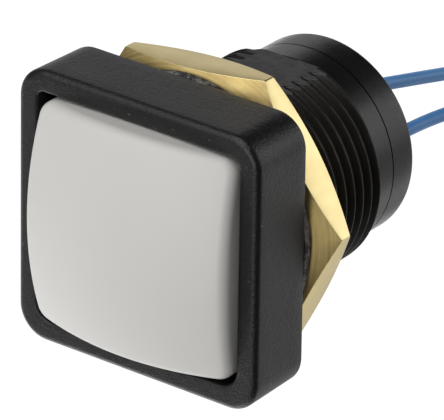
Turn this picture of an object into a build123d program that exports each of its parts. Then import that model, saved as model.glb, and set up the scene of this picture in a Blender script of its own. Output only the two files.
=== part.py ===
from build123d import *
import math
import os

# Momentary pushbutton switch for a panel: square bezel, domed square cap,
# threaded bushing with one flat, brass nut, sealed rear with two wire leads.
# Millimetres. Origin: centre of the panel seat, the rear face of the gasket.
# +Z points out of the panel towards the operator, +Y towards the bushing's flat.

# ---------------------------------------------------------------- bezel
BEZEL_REAR_Z = 0.70
BEZEL_DEPTH = 5.36
BEZEL_REAR_SIDE = 19.80
BEZEL_TAPER_DEG = -1.18          # the walls open slightly towards the front
BEZEL_CORNER_R = 2.30
BEZEL_FRONT_FILLET = 0.57
BEZEL_REAR_FILLET = 0.20
BEZEL_FRONT_Z = BEZEL_REAR_Z + BEZEL_DEPTH
RECESS_SIDE = 16.84
RECESS_CORNER_R = 0.60
RECESS_FLOOR_Z = 2.25

# ---------------------------------------------------------------- bushing
THREAD_R = 7.93                  # crest radius of the fine thread
THREAD_END_Z = -10.80
THREAD_END_CHAMFER = 0.40
FLAT_Y = 7.18
COLLAR_R = 7.22
SEAM_Z = -12.80
SEAM_CHAMFER = 0.14

# ---------------------------------------------------------------- bores
SPRING_POCKET_R = 5.60
SPRING_POCKET_Z = -1.00
GUIDE_BORE_R = 3.05
GUIDE_END_Z = -4.00
CHAMBER_R = 5.80

# ---------------------------------------------------------------- travel
PRESS_TRAVEL = 1.70
CONTACT_GAP = 1.00

# ---------------------------------------------------------------- cap
CAP_SIDE = 16.50                 # across the middles of its sides
CAP_BARREL = 0.26                # how much less the sides reach at the corners
CAP_CORNER_R = 1.15
CAP_BOTTOM_Z = RECESS_FLOOR_Z + PRESS_TRAVEL + 0.05
CAP_TOP_Z = 8.82
CAP_DOME_R = 27.5
CAP_WALL = 1.20
CAP_EDGE_FILLET = 0.80
CAP_BOSS_R = 4.10

# ---------------------------------------------------------------- plunger
PLUNGER_FLANGE_R = 5.20
PLUNGER_FLANGE_Z = (4.40, 5.20)
PLUNGER_SPIGOT_R = 2.60
PLUNGER_SPIGOT_Z = 7.20
STEM_R = 3.00
STEM_END_Z = -5.00
SEAL_GROOVE_Z = (-2.30, -1.40)
SEAL_GROOVE_R = 2.20
SEAL_R = 3.03
CLIP_GROOVE_Z = (-4.46, -4.02)
CLIP_GROOVE_R = 2.45
CLIP_R = 4.20
TAIL_R = 1.20
TAIL_END_Z = -8.75

# ---------------------------------------------------------------- springs
RETURN_SPRING_R = 4.45           # to the wire's centre
RETURN_WIRE_R = 0.25
WASHER_R = (3.40, 5.40)
WASHER_Z = (-1.00, -0.75)
CONTACT_SPRING_R = 2.05
CONTACT_WIRE_R = 0.16

# ---------------------------------------------------------------- contacts
BRIDGE_Z = (-8.10, -7.60)
BRIDGE_SIZE = (2.60, 9.60)
BRIDGE_HOLE_R = 1.26
TIP_Y = 3.80
TIP_R = 0.90
TIP_SHANK_R = 0.50
TIP_DEPTH = 0.40
RETAINER_Z = (-8.44, -8.12)
RETAINER_R = 1.95
BASE_TOP_Z = -10.60
TERMINAL_PLATE_T = 0.50
TERMINAL_PLATE_Y = (2.30, 5.10)
TERMINAL_PLATE_W = 2.20
TERMINAL_PIN_Y = 2.90
TERMINAL_PIN_R = 0.45
TERMINAL_PIN_END_Z = -14.00

# ---------------------------------------------------------------- rear base
REAR_Z = -15.20
REAR_FILLET = 0.34
BASE_PLUG_R = 5.76
WELL_R = 5.60
WELL_Z = -13.40
POTTING_Z = -15.05

# ---------------------------------------------------------------- gasket, nut
GASKET_R = (8.00, 9.90)
GASKET_T = 0.70
NUT_FLATS = 20.20
NUT_TURN_DEG = 4.27
NUT_FRONT_Z = -0.09
NUT_REAR_Z = -2.92
NUT_BORE_R = 7.98
NUT_CHAMFER_START = 0.97 * NUT_FLATS / 2
NUT_CHAMFER_TAN = 0.523
NUT_CORNER_R = 0.50
NUT_BORE_CHAMFER = 0.35

# ---------------------------------------------------------------- leads
LEAD_D = 0.95
LEAD_Y = 2.20
CORE_R = 0.25
LEAD_START_Z = POTTING_Z + 0.70
HANK_X, HANK_Y = 0.60, -2.40
HANK_TOP_Z, HANK_BOTTOM_Z = -34.50, -56.20
HANK_WAIST_Z = -45.50
LOBE_R = 3.35
LOBE_TOP_Z, LOBE_BOTTOM_Z = -38.35, -52.65
STRIPPED = 5.00

UPPER_ROUTE = [
    (0.00, 2.20, LEAD_START_Z),
    (0.00, 2.20, -18.20),
    (0.50, 1.45, -22.00),
    (0.52, 0.45, -26.00),
    (0.40, -0.65, -30.00),
    (0.00, -1.30, -32.40),
    (0.00, -1.30, HANK_TOP_Z),
]
LOWER_ROUTE = [
    (0.00, -2.20, LEAD_START_Z),
    (0.03, -2.20, -18.20),
    (0.50, -2.75, -22.30),
    (0.48, -2.98, -26.30),
    (0.72, -3.42, -30.20),
    (1.20, -3.50, -32.40),
    (1.20, -3.50, HANK_TOP_Z),
]
UPPER_TAIL = [
    (0.60, -1.90, HANK_BOTTOM_Z),
    (0.60, -1.90, -58.30),
    (0.95, -1.45, -61.20),
    (1.05, -1.30, -64.00),
]
LOWER_TAIL = [
    (0.60, -2.90, HANK_BOTTOM_Z),
    (0.60, -2.90, -58.20),
    (0.25, -3.45, -60.90),
    (0.05, -3.60, -63.40),
]


def route_radii(points):
    """Arc radius at each inner point: as large as its two runs allow."""
    out = []
    for a, b, c in zip(points, points[1:], points[2:]):
        u, v = Vector(*b) - Vector(*a), Vector(*c) - Vector(*b)
        half = math.radians(u.get_angle(v)) / 2
        out.append(0.45 * min(u.length, v.length) / math.tan(half))
    return out


os.makedirs("parts", exist_ok=True)


# ================================================================ housing
# One moulding: bezel, threaded bushing (thread cut later on its surface),
# plain collar. Bored from both ends for the mechanism.
with BuildPart() as housing:
    with BuildSketch(Plane.XY.offset(BEZEL_REAR_Z)):
        RectangleRounded(BEZEL_REAR_SIDE, BEZEL_REAR_SIDE, BEZEL_CORNER_R)
    extrude(amount=BEZEL_DEPTH, taper=BEZEL_TAPER_DEG)
    fillet(housing.faces().sort_by(Axis.Z)[-1].edges(), radius=BEZEL_FRONT_FILLET)
    fillet(housing.faces().sort_by(Axis.Z)[0].edges(), radius=BEZEL_REAR_FILLET)
    with BuildSketch(Plane.XY.offset(RECESS_FLOOR_Z)):
        RectangleRounded(RECESS_SIDE, RECESS_SIDE, RECESS_CORNER_R)
    extrude(amount=BEZEL_FRONT_Z - RECESS_FLOOR_Z, mode=Mode.SUBTRACT)
    # bushing with its flat
    with BuildSketch(Plane.XY.offset(BEZEL_REAR_Z)):
        Circle(THREAD_R)
        with Locations((0, FLAT_Y - 10)):
            Rectangle(20, 20, mode=Mode.INTERSECT)
    extrude(amount=THREAD_END_Z - BEZEL_REAR_Z)
    chamfer(housing.faces().sort_by(Axis.Z)[0].edges(), length=THREAD_END_CHAMFER)
    # plain collar up to the seam
    with BuildSketch(Plane.XY.offset(THREAD_END_Z)):
        Circle(COLLAR_R)
    extrude(amount=SEAM_Z - THREAD_END_Z)
    chamfer(housing.faces().sort_by(Axis.Z)[0].edges(), length=SEAM_CHAMFER)
    # bores
    with BuildSketch(Plane.XY.offset(RECESS_FLOOR_Z)):
        Circle(SPRING_POCKET_R)
    extrude(amount=SPRING_POCKET_Z - RECESS_FLOOR_Z, mode=Mode.SUBTRACT)
    with BuildSketch(Plane.XY.offset(SPRING_POCKET_Z)):
        Circle(GUIDE_BORE_R)
    extrude(amount=GUIDE_END_Z - SPRING_POCKET_Z, mode=Mode.SUBTRACT)
    with BuildSketch(Plane.XY.offset(GUIDE_END_Z)):
        Circle(CHAMBER_R)
    extrude(amount=SEAM_Z - GUIDE_END_Z, mode=Mode.SUBTRACT)
housing.part.label = "housing"

# ================================================================ button cap
# Moulded shell: square with slightly convex sides and small corners,
# spherical crown, hollow below, with a boss that takes the plunger's spigot.
CAP_HALF = CAP_SIDE / 2
CAP_CORNER = CAP_HALF - CAP_BARREL
with BuildPart() as button_cap:
    with BuildSketch(Plane.XY.offset(CAP_BOTTOM_Z)) as cap_outline:
        with BuildLine():
            ThreePointArc((CAP_CORNER, -CAP_CORNER), (CAP_HALF, 0), (CAP_CORNER, CAP_CORNER))
            ThreePointArc((CAP_CORNER, CAP_CORNER), (0, CAP_HALF), (-CAP_CORNER, CAP_CORNER))
            ThreePointArc((-CAP_CORNER, CAP_CORNER), (-CAP_HALF, 0), (-CAP_CORNER, -CAP_CORNER))
            ThreePointArc((-CAP_CORNER, -CAP_CORNER), (0, -CAP_HALF), (CAP_CORNER, -CAP_CORNER))
        make_face()
        fillet(cap_outline.vertices(), radius=CAP_CORNER_R)
    extrude(amount=CAP_TOP_Z - CAP_BOTTOM_Z + 0.5)
    with Locations((0, 0, CAP_TOP_Z - CAP_DOME_R)):
        Sphere(CAP_DOME_R, mode=Mode.INTERSECT)
    crown = button_cap.faces().sort_by(Axis.Z)[-1]
    fillet(crown.edges(), radius=CAP_EDGE_FILLET)
with BuildPart() as cap_core:
    with BuildSketch(Plane.XY.offset(CAP_BOTTOM_Z - 1)):
        RectangleRounded(CAP_SIDE - 2 * CAP_WALL, CAP_SIDE - 2 * CAP_WALL, 0.4)
    extrude(amount=CAP_TOP_Z - CAP_BOTTOM_Z)
    with Locations((0, 0, CAP_TOP_Z - CAP_DOME_R)):
        Sphere(CAP_DOME_R - CAP_WALL, mode=Mode.INTERSECT)
    with BuildSketch(Plane.XY.offset(PLUNGER_FLANGE_Z[1])):
        Circle(CAP_BOSS_R)
    extrude(amount=CAP_TOP_Z - PLUNGER_FLANGE_Z[1], mode=Mode.SUBTRACT)
with button_cap:
    add(cap_core.part, mode=Mode.SUBTRACT)
    with BuildSketch(Plane.XY.offset(PLUNGER_FLANGE_Z[1])):
        Circle(PLUNGER_SPIGOT_R)
    extrude(amount=PLUNGER_SPIGOT_Z - PLUNGER_FLANGE_Z[1], mode=Mode.SUBTRACT)
button_cap.part.label = "button_cap"

# ================================================================ plunger
with BuildPart() as plunger:
    with BuildSketch(Plane.XZ):
        with BuildLine():
            Polyline(
                (0, PLUNGER_SPIGOT_Z),
                (PLUNGER_SPIGOT_R - 0.3, PLUNGER_SPIGOT_Z),
                (PLUNGER_SPIGOT_R, PLUNGER_SPIGOT_Z - 0.3),
                (PLUNGER_SPIGOT_R, PLUNGER_FLANGE_Z[1]),
                (PLUNGER_FLANGE_R, PLUNGER_FLANGE_Z[1]),
                (PLUNGER_FLANGE_R, PLUNGER_FLANGE_Z[0]),
                (STEM_R, PLUNGER_FLANGE_Z[0]),
                (STEM_R, SEAL_GROOVE_Z[1]),
                (SEAL_GROOVE_R, SEAL_GROOVE_Z[1]),
                (SEAL_GROOVE_R, SEAL_GROOVE_Z[0]),
                (STEM_R, SEAL_GROOVE_Z[0]),
                (STEM_R, CLIP_GROOVE_Z[1]),
                (CLIP_GROOVE_R, CLIP_GROOVE_Z[1]),
                (CLIP_GROOVE_R, CLIP_GROOVE_Z[0]),
                (STEM_R, CLIP_GROOVE_Z[0]),
                (STEM_R, STEM_END_Z + 0.15),
                (STEM_R - 0.15, STEM_END_Z),
                (TAIL_R, STEM_END_Z),
                (TAIL_R, TAIL_END_Z + 0.2),
                (TAIL_R - 0.2, TAIL_END_Z),
                (0, TAIL_END_Z),
                close=True,
            )
        make_face()
    revolve(axis=Axis.Z)
plunger.part.label = "plunger"

# sliding seal in the stem's groove
SEAL_SECTION_R = (SEAL_R - SEAL_GROOVE_R) / 2
with BuildPart() as plunger_seal:
    with BuildSketch(Plane.XZ):
        with Locations((SEAL_GROOVE_R + SEAL_SECTION_R, (SEAL_GROOVE_Z[0] + SEAL_GROOVE_Z[1]) / 2)):
            Circle(SEAL_SECTION_R)
    revolve(axis=Axis.Z)
plunger_seal.part.label = "plunger_seal"

# open retaining ring that stops the stem below the guide
with BuildPart() as plunger_clip:
    with BuildSketch(Plane.XY.offset(CLIP_GROOVE_Z[0] + 0.01)):
        Circle(CLIP_R)
        Circle(CLIP_GROOVE_R + 0.02, mode=Mode.SUBTRACT)
        with Locations((CLIP_R, 0)):
            Rectangle(2 * CLIP_R, 2.6, mode=Mode.SUBTRACT)
    extrude(amount=CLIP_GROOVE_Z[1] - CLIP_GROOVE_Z[0] - 0.02)
    fillet(plunger_clip.edges().filter_by(Axis.Z), radius=0.25)
plunger_clip.part.label = "plunger_clip"

# ================================================================ return spring
with BuildPart() as spring_washer:
    with BuildSketch(Plane.XY.offset(WASHER_Z[0])):
        Circle(WASHER_R[1])
        Circle(WASHER_R[0], mode=Mode.SUBTRACT)
    extrude(amount=WASHER_Z[1] - WASHER_Z[0])
    chamfer(spring_washer.edges().filter_by(GeomType.CIRCLE).sort_by(Axis.Z)[-2:], length=0.05)
spring_washer.part.label = "spring_washer"

RETURN_LOW = WASHER_Z[1] + RETURN_WIRE_R + 0.01
RETURN_HIGH = PLUNGER_FLANGE_Z[0] - RETURN_WIRE_R - 0.01
with BuildPart() as return_spring:
    with BuildLine() as return_path:
        Helix(
            pitch=(RETURN_HIGH - RETURN_LOW) / 4.5,
            height=RETURN_HIGH - RETURN_LOW,
            radius=RETURN_SPRING_R,
            center=(0, 0, RETURN_LOW),
        )
    with BuildSketch(Plane(origin=return_path.line @ 0, z_dir=return_path.line % 0)):
        Circle(RETURN_WIRE_R)
    sweep(is_frenet=True)
return_spring.part.label = "return_spring"

# ================================================================ moving contact
with BuildPart() as contact_bridge:
    with BuildSketch(Plane.XY.offset(BRIDGE_Z[0])):
        RectangleRounded(BRIDGE_SIZE[0], BRIDGE_SIZE[1], 0.6)
        Circle(2.10)
        Circle(BRIDGE_HOLE_R, mode=Mode.SUBTRACT)
        with Locations((0, TIP_Y), (0, -TIP_Y)):
            Circle(TIP_SHANK_R, mode=Mode.SUBTRACT)
    extrude(amount=BRIDGE_Z[1] - BRIDGE_Z[0])
contact_bridge.part.label = "contact_bridge"

# two silver rivets under the bridge's ends
with BuildPart() as bridge_tips:
    with BuildSketch(Plane.XY.offset(BRIDGE_Z[0] - TIP_DEPTH)):
        with Locations((0, TIP_Y), (0, -TIP_Y)):
            Circle(TIP_R)
    extrude(amount=TIP_DEPTH)
    with BuildSketch(Plane.XY.offset(BRIDGE_Z[0])):
        with Locations((0, TIP_Y), (0, -TIP_Y)):
            Circle(TIP_SHANK_R)
    extrude(amount=BRIDGE_Z[1] - BRIDGE_Z[0])
    fillet(bridge_tips.edges().filter_by(GeomType.CIRCLE).group_by(Axis.Z)[0], radius=0.15)
bridge_tips.part.label = "bridge_tips"

# push-on ring that keeps the bridge on the tail
with BuildPart() as bridge_retainer:
    with BuildSketch(Plane.XY.offset(RETAINER_Z[0])):
        Circle(RETAINER_R)
        Circle(TAIL_R, mode=Mode.SUBTRACT)
    extrude(amount=RETAINER_Z[1] - RETAINER_Z[0])
bridge_retainer.part.label = "bridge_retainer"

CONTACT_LOW = BRIDGE_Z[1] + CONTACT_WIRE_R + 0.01
CONTACT_HIGH = STEM_END_Z - CONTACT_WIRE_R - 0.01
with BuildPart() as contact_spring:
    with BuildLine() as contact_path:
        Helix(
            pitch=(CONTACT_HIGH - CONTACT_LOW) / 3.5,
            height=CONTACT_HIGH - CONTACT_LOW,
            radius=CONTACT_SPRING_R,
            center=(0, 0, CONTACT_LOW),
        )
    with BuildSketch(Plane(origin=contact_path.line @ 0, z_dir=contact_path.line % 0)):
        Circle(CONTACT_WIRE_R)
    sweep(is_frenet=True)
contact_spring.part.label = "contact_spring"

# ================================================================ terminals
with BuildPart() as terminal_upper:
    with BuildSketch(Plane.XY.offset(BASE_TOP_Z)):
        with Locations((0, sum(TERMINAL_PLATE_Y) / 2)):
            RectangleRounded(TERMINAL_PLATE_W, TERMINAL_PLATE_Y[1] - TERMINAL_PLATE_Y[0], 0.4)
        with Locations((0, TIP_Y)):
            Circle(TIP_SHANK_R, mode=Mode.SUBTRACT)
    extrude(amount=TERMINAL_PLATE_T)
    with BuildSketch(Plane.XY.offset(BASE_TOP_Z)):
        with Locations((0, TERMINAL_PIN_Y)):
            Circle(TERMINAL_PIN_R)
    extrude(amount=TERMINAL_PIN_END_Z - BASE_TOP_Z)
terminal_upper.part.label = "terminal_upper"

with BuildPart() as terminal_lower:
    with BuildSketch(Plane.XY.offset(BASE_TOP_Z)):
        with Locations((0, -sum(TERMINAL_PLATE_Y) / 2)):
            RectangleRounded(TERMINAL_PLATE_W, TERMINAL_PLATE_Y[1] - TERMINAL_PLATE_Y[0], 0.4)
        with Locations((0, -TIP_Y)):
            Circle(TIP_SHANK_R, mode=Mode.SUBTRACT)
    extrude(amount=TERMINAL_PLATE_T)
    with BuildSketch(Plane.XY.offset(BASE_TOP_Z)):
        with Locations((0, -TERMINAL_PIN_Y)):
            Circle(TERMINAL_PIN_R)
    extrude(amount=TERMINAL_PIN_END_Z - BASE_TOP_Z)
terminal_lower.part.label = "terminal_lower"

PLATE_TOP_Z = BASE_TOP_Z + TERMINAL_PLATE_T
FIXED_TIP_TOP_Z = BRIDGE_Z[0] - TIP_DEPTH - CONTACT_GAP - 0.02
# two silver rivets on the terminals
with BuildPart() as terminal_tips:
    with BuildSketch(Plane.XY.offset(PLATE_TOP_Z)):
        with Locations((0, TIP_Y), (0, -TIP_Y)):
            Circle(TIP_R)
    extrude(amount=FIXED_TIP_TOP_Z - PLATE_TOP_Z)
    with BuildSketch(Plane.XY.offset(BASE_TOP_Z)):
        with Locations((0, TIP_Y), (0, -TIP_Y)):
            Circle(TIP_SHANK_R)
    extrude(amount=TERMINAL_PLATE_T)
    fillet(terminal_tips.edges().filter_by(GeomType.CIRCLE).group_by(Axis.Z)[-1], radius=0.15)
terminal_tips.part.label = "terminal_tips"

# ================================================================ rear base
# Insulating plug that carries the terminals; its flange is the rear end of
# the switch, with a well for the potting.
with BuildPart() as contact_base:
    with BuildSketch(Plane.XY.offset(SEAM_Z)):
        Circle(COLLAR_R)
    extrude(amount=REAR_Z - SEAM_Z)
    chamfer(contact_base.faces().sort_by(Axis.Z)[-1].edges(), length=SEAM_CHAMFER)
    fillet(contact_base.faces().sort_by(Axis.Z)[0].edges(), radius=REAR_FILLET)
    with BuildSketch(Plane.XY.offset(SEAM_Z)):
        Circle(BASE_PLUG_R)
    extrude(amount=BASE_TOP_Z - SEAM_Z)
    with BuildSketch(Plane.XY.offset(WELL_Z)):
        Circle(WELL_R)
    extrude(amount=REAR_Z - WELL_Z, mode=Mode.SUBTRACT)
    with BuildSketch(Plane.XY.offset(BASE_TOP_Z)):
        with Locations((0, TERMINAL_PIN_Y), (0, -TERMINAL_PIN_Y)):
            Circle(TERMINAL_PIN_R)
    extrude(amount=WELL_Z - BASE_TOP_Z, mode=Mode.SUBTRACT)
contact_base.part.label = "contact_base"

# poured sealing compound around the pins, the stripped starts and the leads
CORE_TOP_Z = WELL_Z - 0.15
with BuildPart() as potting:
    with BuildSketch(Plane.XY.offset(WELL_Z)):
        Circle(WELL_R)
    extrude(amount=POTTING_Z - WELL_Z)
    with BuildSketch(Plane.XY.offset(WELL_Z)):
        with Locations((0, TERMINAL_PIN_Y), (0, -TERMINAL_PIN_Y)):
            Circle(TERMINAL_PIN_R)
    extrude(amount=TERMINAL_PIN_END_Z - WELL_Z, mode=Mode.SUBTRACT)
    with BuildSketch(Plane.XY.offset(CORE_TOP_Z)):
        with Locations((0, LEAD_Y), (0, -LEAD_Y)):
            Circle(CORE_R)
    extrude(amount=LEAD_START_Z - CORE_TOP_Z, mode=Mode.SUBTRACT)
    with BuildSketch(Plane.XY.offset(LEAD_START_Z)):
        with Locations((0, LEAD_Y), (0, -LEAD_Y)):
            Circle(LEAD_D / 2)
    extrude(amount=POTTING_Z - LEAD_START_Z, mode=Mode.SUBTRACT)
potting.part.label = "potting"

# ================================================================ leads
# stripped starts, soldered beside the pins inside the potting
with BuildPart() as lead_upper_core:
    with BuildSketch(Plane.XY.offset(LEAD_START_Z)):
        with Locations((0, LEAD_Y)):
            Circle(CORE_R)
    extrude(amount=CORE_TOP_Z - LEAD_START_Z)
lead_upper_core.part.label = "lead_upper_core"

with BuildPart() as lead_lower_core:
    with BuildSketch(Plane.XY.offset(LEAD_START_Z)):
        with Locations((0, -LEAD_Y)):
            Circle(CORE_R)
    extrude(amount=CORE_TOP_Z - LEAD_START_Z)
lead_lower_core.part.label = "lead_lower_core"


def lead_tube(label, points, radius):
    radii = route_radii(points)
    print(label, "radii", [round(r, 1) for r in radii])
    with BuildPart() as tube:
        with BuildLine() as path:
            FilletPolyline(*points, radius=radii)
        with BuildSketch(Plane(origin=path.line @ 0, z_dir=path.line % 0)):
            Circle(radius)
        sweep()
    tube.part.label = label
    run = sum(edge.length for edge in path.line.edges())
    print(label, "length", round(run, 2), "volume over section x length", round(tube.part.volume / (math.pi * radius**2 * run), 4))
    return tube


lead_upper = lead_tube("lead_upper", UPPER_ROUTE, LEAD_D / 2)
lead_lower = lead_tube("lead_lower", LOWER_ROUTE, LEAD_D / 2)
lead_upper_tail = lead_tube("lead_upper_tail", UPPER_TAIL, LEAD_D / 2)
lead_lower_tail = lead_tube("lead_lower_tail", LOWER_TAIL, LEAD_D / 2)


def bare_end(label, points):
    """Twisted, tinned strands beyond the insulation."""
    direction = (Vector(*points[-1]) - Vector(*points[-2])).normalized()
    with BuildPart() as end:
        with BuildSketch(Plane(origin=points[-1], z_dir=direction)):
            Circle(CORE_R)
        extrude(amount=STRIPPED)
    end.part.label = label
    return end


lead_upper_end = bare_end("lead_upper_end", UPPER_TAIL)
lead_lower_end = bare_end("lead_lower_end", LOWER_TAIL)

# both leads folded together: the outer shape of the hank, pinched by its tie
WAIST_HALF_Y, WAIST_HALF_X, LOBE_HALF_X = 2.05, 1.55, 3.05
TIE_HALF_H = 1.30
with BuildPart() as lead_hank:
    with BuildSketch(Plane.YZ.offset(HANK_X)):
        with Locations((HANK_Y, LOBE_TOP_Z), (HANK_Y, LOBE_BOTTOM_Z)):
            Circle(LOBE_R)
        with BuildLine():
            Polyline(
                (HANK_Y + 3.15, LOBE_TOP_Z - 1.14),
                (HANK_Y + WAIST_HALF_Y, HANK_WAIST_Z + TIE_HALF_H),
                (HANK_Y + WAIST_HALF_Y, HANK_WAIST_Z - TIE_HALF_H),
                (HANK_Y + 3.15, LOBE_BOTTOM_Z + 1.14),
                (HANK_Y - 3.15, LOBE_BOTTOM_Z + 1.14),
                (HANK_Y - WAIST_HALF_Y, HANK_WAIST_Z - TIE_HALF_H),
                (HANK_Y - WAIST_HALF_Y, HANK_WAIST_Z + TIE_HALF_H),
                (HANK_Y - 3.15, LOBE_TOP_Z - 1.14),
                close=True,
            )
        make_face()
        with Locations((HANK_Y, (HANK_TOP_Z + LOBE_TOP_Z) / 2)):
            Rectangle(3.60, HANK_TOP_Z - LOBE_TOP_Z)
        with Locations((HANK_Y, (HANK_BOTTOM_Z + LOBE_BOTTOM_Z) / 2)):
            Rectangle(2.60, LOBE_BOTTOM_Z - HANK_BOTTOM_Z)
    extrude(amount=LOBE_HALF_X + 0.5, both=True)
    with BuildSketch(Plane.XZ.offset(-HANK_Y)):
        with BuildLine():
            Polyline(
                (HANK_X - 1.40, HANK_TOP_Z),
                (HANK_X + 1.40, HANK_TOP_Z),
                (HANK_X + LOBE_HALF_X, HANK_TOP_Z - 2.4),
                (HANK_X + LOBE_HALF_X, LOBE_TOP_Z - 1.2),
                (HANK_X + WAIST_HALF_X, HANK_WAIST_Z + TIE_HALF_H),
                (HANK_X + WAIST_HALF_X, HANK_WAIST_Z - TIE_HALF_H),
                (HANK_X + LOBE_HALF_X, LOBE_BOTTOM_Z + 1.2),
                (HANK_X + LOBE_HALF_X, HANK_BOTTOM_Z + 2.4),
                (HANK_X + 1.40, HANK_BOTTOM_Z),
                (HANK_X - 1.40, HANK_BOTTOM_Z),
                (HANK_X - LOBE_HALF_X, HANK_BOTTOM_Z + 2.4),
                (HANK_X - LOBE_HALF_X, LOBE_BOTTOM_Z + 1.2),
                (HANK_X - WAIST_HALF_X, HANK_WAIST_Z - TIE_HALF_H),
                (HANK_X - WAIST_HALF_X, HANK_WAIST_Z + TIE_HALF_H),
                (HANK_X - LOBE_HALF_X, LOBE_TOP_Z - 1.2),
                (HANK_X - LOBE_HALF_X, HANK_TOP_Z - 2.4),
                close=True,
            )
        make_face()
    extrude(amount=6, both=True, mode=Mode.INTERSECT)
lead_hank.part.label = "lead_hank"

# soft band round the hank's waist
with BuildPart() as lead_tie:
    with BuildSketch(Plane.XY.offset(HANK_WAIST_Z - 1.1)):
        with Locations((HANK_X, HANK_Y)):
            RectangleRounded(2 * WAIST_HALF_X + 0.9, 2 * WAIST_HALF_Y + 0.9, 0.7)
            Rectangle(2 * WAIST_HALF_X, 2 * WAIST_HALF_Y, mode=Mode.SUBTRACT)
    extrude(amount=2.2)
lead_tie.part.label = "lead_tie"

# ================================================================ panel gasket
with BuildPart() as panel_gasket:
    with BuildSketch():
        Circle(GASKET_R[1])
        Circle(GASKET_R[0], mode=Mode.SUBTRACT)
    extrude(amount=GASKET_T)
    fillet(panel_gasket.edges().group_by(SortBy.LENGTH)[-1], radius=0.18)
panel_gasket.part.label = "panel_gasket"

# ================================================================ hex nut
# Hexagon bar section turned to shape: conical chamfers on both faces.
NUT_E = NUT_FLATS / math.sqrt(3)
NUT_DROP = (NUT_E - NUT_CHAMFER_START) * NUT_CHAMFER_TAN
with BuildPart() as hex_nut:
    with BuildSketch(Plane.XY.offset(NUT_REAR_Z)) as nut_outline:
        RegularPolygon(radius=NUT_E, side_count=6, rotation=NUT_TURN_DEG)
        fillet(nut_outline.vertices(), radius=NUT_CORNER_R)
    extrude(amount=NUT_FRONT_Z - NUT_REAR_Z)
    with BuildSketch(Plane.XZ):
        with BuildLine():
            Polyline(
                (NUT_BORE_R, NUT_REAR_Z + NUT_BORE_CHAMFER),
                (NUT_BORE_R + NUT_BORE_CHAMFER, NUT_REAR_Z),
                (NUT_CHAMFER_START, NUT_REAR_Z),
                (NUT_E, NUT_REAR_Z + NUT_DROP),
                (NUT_E, NUT_FRONT_Z - NUT_DROP),
                (NUT_CHAMFER_START, NUT_FRONT_Z),
                (NUT_BORE_R + NUT_BORE_CHAMFER, NUT_FRONT_Z),
                (NUT_BORE_R, NUT_FRONT_Z - NUT_BORE_CHAMFER),
                close=True,
            )
        make_face()
    revolve(axis=Axis.Z, mode=Mode.INTERSECT)
hex_nut.part.label = "hex_nut"

for piece in (
    housing, button_cap, plunger, plunger_seal, plunger_clip, spring_washer,
    return_spring, contact_bridge, bridge_tips, bridge_retainer, contact_spring,
    terminal_upper, terminal_lower, terminal_tips, contact_base, potting,
    lead_upper_core, lead_lower_core, lead_upper, lead_lower, lead_hank,
    lead_tie, lead_upper_tail, lead_lower_tail, lead_upper_end, lead_lower_end,
    panel_gasket, hex_nut,
):
    export_step(piece.part, f"parts/{piece.part.label}.step")
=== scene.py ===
import math
import random

import bpy
import numpy as np
from mathutils import Matrix, Vector


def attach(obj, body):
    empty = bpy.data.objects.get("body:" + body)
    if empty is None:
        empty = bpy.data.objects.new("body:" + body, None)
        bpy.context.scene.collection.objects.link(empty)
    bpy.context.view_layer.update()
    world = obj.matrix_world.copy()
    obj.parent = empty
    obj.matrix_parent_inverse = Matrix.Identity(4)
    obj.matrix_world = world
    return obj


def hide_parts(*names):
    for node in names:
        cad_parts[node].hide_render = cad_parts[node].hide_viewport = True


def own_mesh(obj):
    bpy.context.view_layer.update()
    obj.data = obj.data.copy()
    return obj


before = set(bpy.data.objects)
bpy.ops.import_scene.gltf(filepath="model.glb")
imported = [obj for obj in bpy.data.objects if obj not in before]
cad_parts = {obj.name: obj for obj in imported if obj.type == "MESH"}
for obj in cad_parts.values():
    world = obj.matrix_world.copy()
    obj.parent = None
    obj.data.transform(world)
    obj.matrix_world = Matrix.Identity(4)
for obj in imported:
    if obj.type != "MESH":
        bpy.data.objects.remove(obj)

MM = 0.001
random.seed(7)
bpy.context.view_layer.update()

# ------------------------------------------------------------------ camera
# placed by the outlines of bezel, nut and bushing; a long lens from 0.45 m
cam_data = bpy.data.cameras.new("camera")
cam_data.sensor_fit = "HORIZONTAL"
cam_data.sensor_width = 36.0
cam_data.lens = 546.90
cam_data.clip_start = 0.02
cam_data.clip_end = 20.0
cam = bpy.data.objects.new("camera", cam_data)
bpy.context.scene.collection.objects.link(cam)
cam.matrix_world = Matrix((
    (0.7932164, -0.2789903, 0.5412695, 0.2442509),
    (0.0139139, 0.8969437, 0.4419258, 0.1980890),
    (-0.6087808, -0.3430116, 0.7153523, 0.3195039),
    (0.0, 0.0, 0.0, 1.0),
))
bpy.context.scene.camera = cam


# ------------------------------------------------------------------ mesh helpers
def mesh_object(name, verts_mm, faces, sharp=32.0):
    me = bpy.data.meshes.new(name)
    me.from_pydata([(x * MM, y * MM, z * MM) for x, y, z in verts_mm], [], faces)
    me.validate()
    me.polygons.foreach_set("use_smooth", [True] * len(me.polygons))
    me.set_sharp_from_angle(angle=math.radians(sharp))
    me.update()
    ob = bpy.data.objects.new(name, me)
    bpy.context.scene.collection.objects.link(ob)
    return ob


def bridge_rings(rings, loop=False, cap_start=False, cap_end=False, flip=False):
    """Quads between rings of the same count; optional fans at the ends."""
    verts = [tuple(p) for ring in rings for p in ring]
    n = len(rings[0])
    faces = []
    pairs = list(zip(range(len(rings) - 1), range(1, len(rings))))
    if loop:
        pairs.append((len(rings) - 1, 0))
    for a, b in pairs:
        for i in range(n):
            j = (i + 1) % n
            faces.append((a * n + i, a * n + j, b * n + j, b * n + i))
    for want, ring, turn in ((cap_start, 0, True), (cap_end, len(rings) - 1, False)):
        if want:
            centre = np.mean(np.array(rings[ring], float), axis=0)
            verts.append(tuple(centre))
            c = len(verts) - 1
            for i in range(n):
                j = (i + 1) % n
                tri = (ring * n + i, ring * n + j, c)
                faces.append(tri[::-1] if turn else tri)
    if flip:
        faces = [f[::-1] for f in faces]
    return verts, faces


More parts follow.
